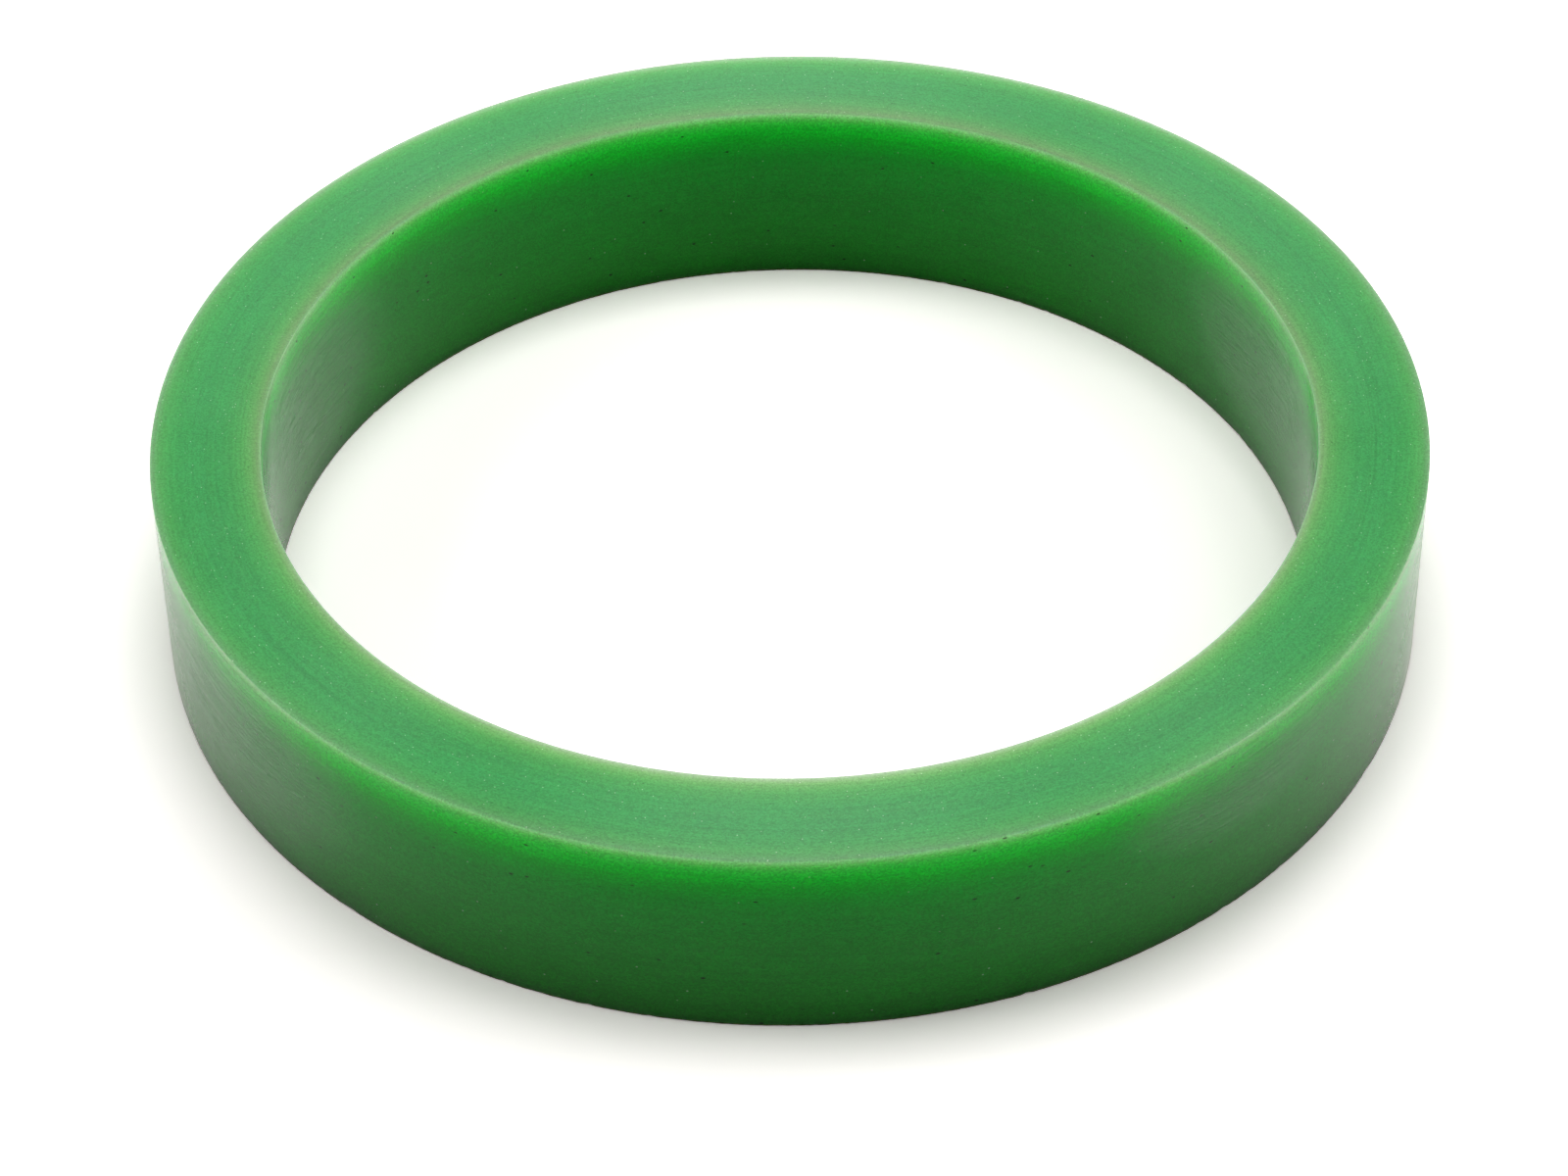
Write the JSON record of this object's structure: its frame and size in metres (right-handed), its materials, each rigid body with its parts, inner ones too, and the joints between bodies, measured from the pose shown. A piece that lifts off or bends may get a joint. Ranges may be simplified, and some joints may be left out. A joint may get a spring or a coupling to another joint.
{
  "type": "pressure ring",
  "caption": "Flat solid ring of green polyurethane with a wide plain bore, square section and lightly broken edges, for pressing a packing set into its seat.",
  "frame": {"origin": "centre of the lower face, on the ring's axis", "axes": "+Z along the ring's axis, from the lower face to the upper face; the ring is round, so +X and +Y are any two directions across it"},
  "size_m": [0.18, 0.18, 0.03],
  "materials": {
    "polyurethane": "satin"
  },
  "bodies": {
    "root": {"pressure_ring": "polyurethane"}
  },
  "joints": []
}
